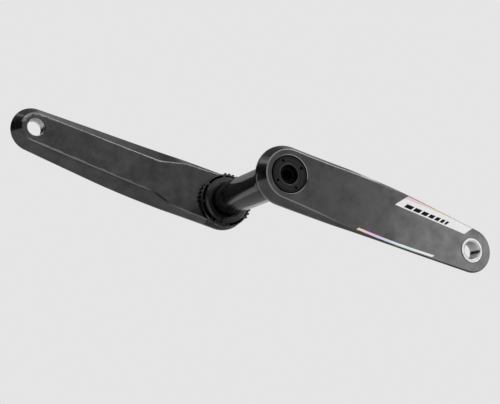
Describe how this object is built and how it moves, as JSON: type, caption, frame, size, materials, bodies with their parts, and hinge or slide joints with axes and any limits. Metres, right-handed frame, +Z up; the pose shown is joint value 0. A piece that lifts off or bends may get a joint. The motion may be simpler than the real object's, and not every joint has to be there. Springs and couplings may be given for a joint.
{
  "type": "bicycle crankset without chainring",
  "caption": "Bicycle crankset without its chainring: two carbon crank arms set opposite each other on a hollow spindle, with a ribbed preload ring.",
  "frame": {"origin": "on the spindle's axis, half way between the outer faces of the two pedal holes", "axes": "+Y along the spindle from the drive arm to the non-drive arm, +X along the drive arm towards its pedal hole, +Z up"},
  "size_m": [0.3876, 0.1496, 0.0508],
  "materials": {
    "carbon": "carbon fibre under a satin clear coat",
    "anodised": "glossy black anodised",
    "insert_metal": "machined, dark grey",
    "black_steel": "blackened",
    "washer_plastic": "plain",
    "ring_plastic": "moulded, satin",
    "zinc_steel": "plated",
    "silver_film": "printed silver film",
    "pastel_film": "printed pastel film"
  },
  "bodies": {
    "crankset": {"drive_arm": "carbon", "non_drive_arm": "carbon", "drive_pedal_insert": "insert_metal", "non_drive_pedal_insert": "insert_metal", "drive_hub_insert": "anodised", "non_drive_hub_insert": "anodised", "spindle": "anodised", "crank_bolt": "black_steel", "bolt_washer": "washer_plastic", "extractor_washer": "washer_plastic", "extractor_cap": "anodised", "panel_film": "silver_film", "trim_film": "pastel_film", "stripe_film": "pastel_film"},
    "preload_ring": {"preload_ring": "ring_plastic", "pinch_screw": "zinc_steel", "pinch_nut": "zinc_steel"}
  },
  "joints": [
    {"name": "preload_turn", "type": "hinge", "parent": "crankset", "child": "preload_ring", "pos_m": [0, 0.0488, 0], "axis": [0, 1, 0], "range_deg": [0, 360]}
  ]
}
